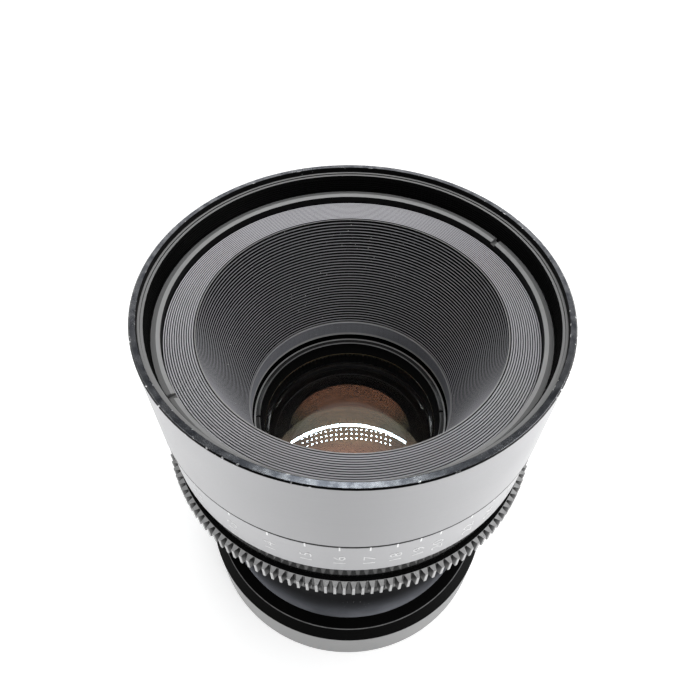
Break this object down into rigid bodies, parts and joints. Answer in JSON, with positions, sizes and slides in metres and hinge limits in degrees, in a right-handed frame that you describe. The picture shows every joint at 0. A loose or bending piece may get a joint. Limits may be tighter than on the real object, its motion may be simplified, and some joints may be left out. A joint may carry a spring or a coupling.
{
  "type": "cinema prime lens",
  "caption": "Cinema prime lens on its rear cap: geared focus ring, iris ring, ridged front baffle, four-lug mount and working iris.",
  "frame": {"origin": "centre of the rear cap's flat underside, on the table", "axes": "+Z along the optical axis to the front of the lens; -Y towards the viewer in the picture"},
  "size_m": [0.1168, 0.1168, 0.137],
  "materials": {
    "satin_grey": "satin anodised",
    "cap_grey": "satin grey",
    "black_gloss": "glossy black anodised",
    "black_matte": "matt black anodised",
    "gear_black": "satin black anodised",
    "steel": "turned",
    "screw_steel": "blackened",
    "bronze": "turned bearing bronze",
    "shim_brass": "rolled",
    "glass_amber": "amber coated",
    "glass_olive": "olive coated",
    "blade_steel": "black spring steel"
  },
  "bodies": {
    "rear_cap": {"rear_cap": "cap_grey"},
    "barrel": {"lens_mount": "steel", "mount_shim": "shim_brass", "mount_screws": "screw_steel", "rear_barrel": "black_gloss", "main_barrel": "black_matte", "barrel_screws": "screw_steel", "index_ring": "gear_black", "front_barrel": "satin_grey", "front_screws": "screw_steel", "front_tube": "black_matte", "ridged_baffle": "black_matte", "front_retaining_ring": "gear_black", "focus_stop_pin": "steel"},
    "focus": {"focus_ring": "satin_grey", "focus_gear": "satin_grey", "gear_screws": "screw_steel", "focus_bearing_rear": "bronze", "focus_bearing_front": "bronze"},
    "optics": {"helicoid_ring": "bronze", "coupling_pins": "steel", "carrier": "black_matte", "front_cell": "black_matte", "glass_retainer": "gear_black", "element_1": "glass_amber", "element_2": "glass_amber", "element_3": "glass_olive", "inner_retainer": "black_matte", "iris_housing": "black_matte", "housing_screws": "screw_steel", "iris_pivots": "steel", "rear_cell": "black_matte", "rear_cell_screws": "screw_steel", "element_4": "glass_olive", "element_5": "glass_amber", "rear_spacer": "black_matte", "element_6": "glass_amber", "rear_retainer": "gear_black"},
    "iris_control": {"iris_ring": "gear_black", "iris_gear": "gear_black", "iris_drive_pin": "steel"},
    "iris_drive": {"iris_drive_ring": "bronze", "iris_fork": "steel"},
    "blade_1": {"iris_blade_1": "blade_steel"},
    "blade_2": {"iris_blade_2": "blade_steel"},
    "blade_3": {"iris_blade_3": "blade_steel"},
    "blade_4": {"iris_blade_4": "blade_steel"},
    "blade_5": {"iris_blade_5": "blade_steel"},
    "blade_6": {"iris_blade_6": "blade_steel"},
    "blade_7": {"iris_blade_7": "blade_steel"},
    "blade_8": {"iris_blade_8": "blade_steel"}
  },
  "joints": [
    {"name": "lens_lift", "type": "slide", "parent": "rear_cap", "child": "barrel", "axis": [0, 0, 1], "range_m": [0, 0.06]},
    {"name": "focus_turn", "type": "hinge", "parent": "barrel", "child": "focus", "pos_m": [0, 0, 0.093], "axis": [0, 0, 1], "range_deg": [-39, 251]},
    {"name": "optics_slide", "type": "slide", "parent": "barrel", "child": "optics", "axis": [0, 0, 1], "range_m": [-0.00135, 0.00865]},
    {"name": "iris_turn", "type": "hinge", "parent": "barrel", "child": "iris_control", "pos_m": [0, 0, 0.058], "axis": [0, 0, 1], "range_deg": [0, 36]},
    {"name": "iris_drive_turn", "type": "hinge", "parent": "optics", "child": "iris_drive", "pos_m": [0, 0, 0.054], "axis": [0, 0, 1], "range_deg": [0, 36]},
    {"name": "blade_1_swing", "type": "hinge", "parent": "optics", "child": "blade_1", "pos_m": [0.0256, 0, 0.052], "axis": [0, 0, 1], "range_deg": [0, 36]},
    {"name": "blade_2_swing", "type": "hinge", "parent": "optics", "child": "blade_2", "pos_m": [0.0181, 0.0181, 0.052], "axis": [0, 0, 1], "range_deg": [0, 36]},
    {"name": "blade_3_swing", "type": "hinge", "parent": "optics", "child": "blade_3", "pos_m": [0, 0.0256, 0.052], "axis": [0, 0, 1], "range_deg": [0, 36]},
    {"name": "blade_4_swing", "type": "hinge", "parent": "optics", "child": "blade_4", "pos_m": [-0.0181, 0.0181, 0.052], "axis": [0, 0, 1], "range_deg": [0, 36]},
    {"name": "blade_5_swing", "type": "hinge", "parent": "optics", "child": "blade_5", "pos_m": [-0.0256, 0, 0.052], "axis": [0, 0, 1], "range_deg": [0, 36]},
    {"name": "blade_6_swing", "type": "hinge", "parent": "optics", "child": "blade_6", "pos_m": [-0.0181, -0.0181, 0.052], "axis": [0, 0, 1], "range_deg": [0, 36]},
    {"name": "blade_7_swing", "type": "hinge", "parent": "optics", "child": "blade_7", "pos_m": [0, -0.0256, 0.052], "axis": [0, 0, 1], "range_deg": [0, 36]},
    {"name": "blade_8_swing", "type": "hinge", "parent": "optics", "child": "blade_8", "pos_m": [0.0181, -0.0181, 0.052], "axis": [0, 0, 1], "range_deg": [0, 36]}
  ],
  "couplings": [
    {"joint": "optics_slide", "follows": "focus_turn", "m_per_rad": 0.0019735},
    {"joint": "iris_drive_turn", "follows": "iris_turn", "ratio": 1},
    {"joint": "blade_1_swing", "follows": "iris_turn", "ratio": 1},
    {"joint": "blade_2_swing", "follows": "iris_turn", "ratio": 1},
    {"joint": "blade_3_swing", "follows": "iris_turn", "ratio": 1},
    {"joint": "blade_4_swing", "follows": "iris_turn", "ratio": 1},
    {"joint": "blade_5_swing", "follows": "iris_turn", "ratio": 1},
    {"joint": "blade_6_swing", "follows": "iris_turn", "ratio": 1},
    {"joint": "blade_7_swing", "follows": "iris_turn", "ratio": 1},
    {"joint": "blade_8_swing", "follows": "iris_turn", "ratio": 1}
  ]
}
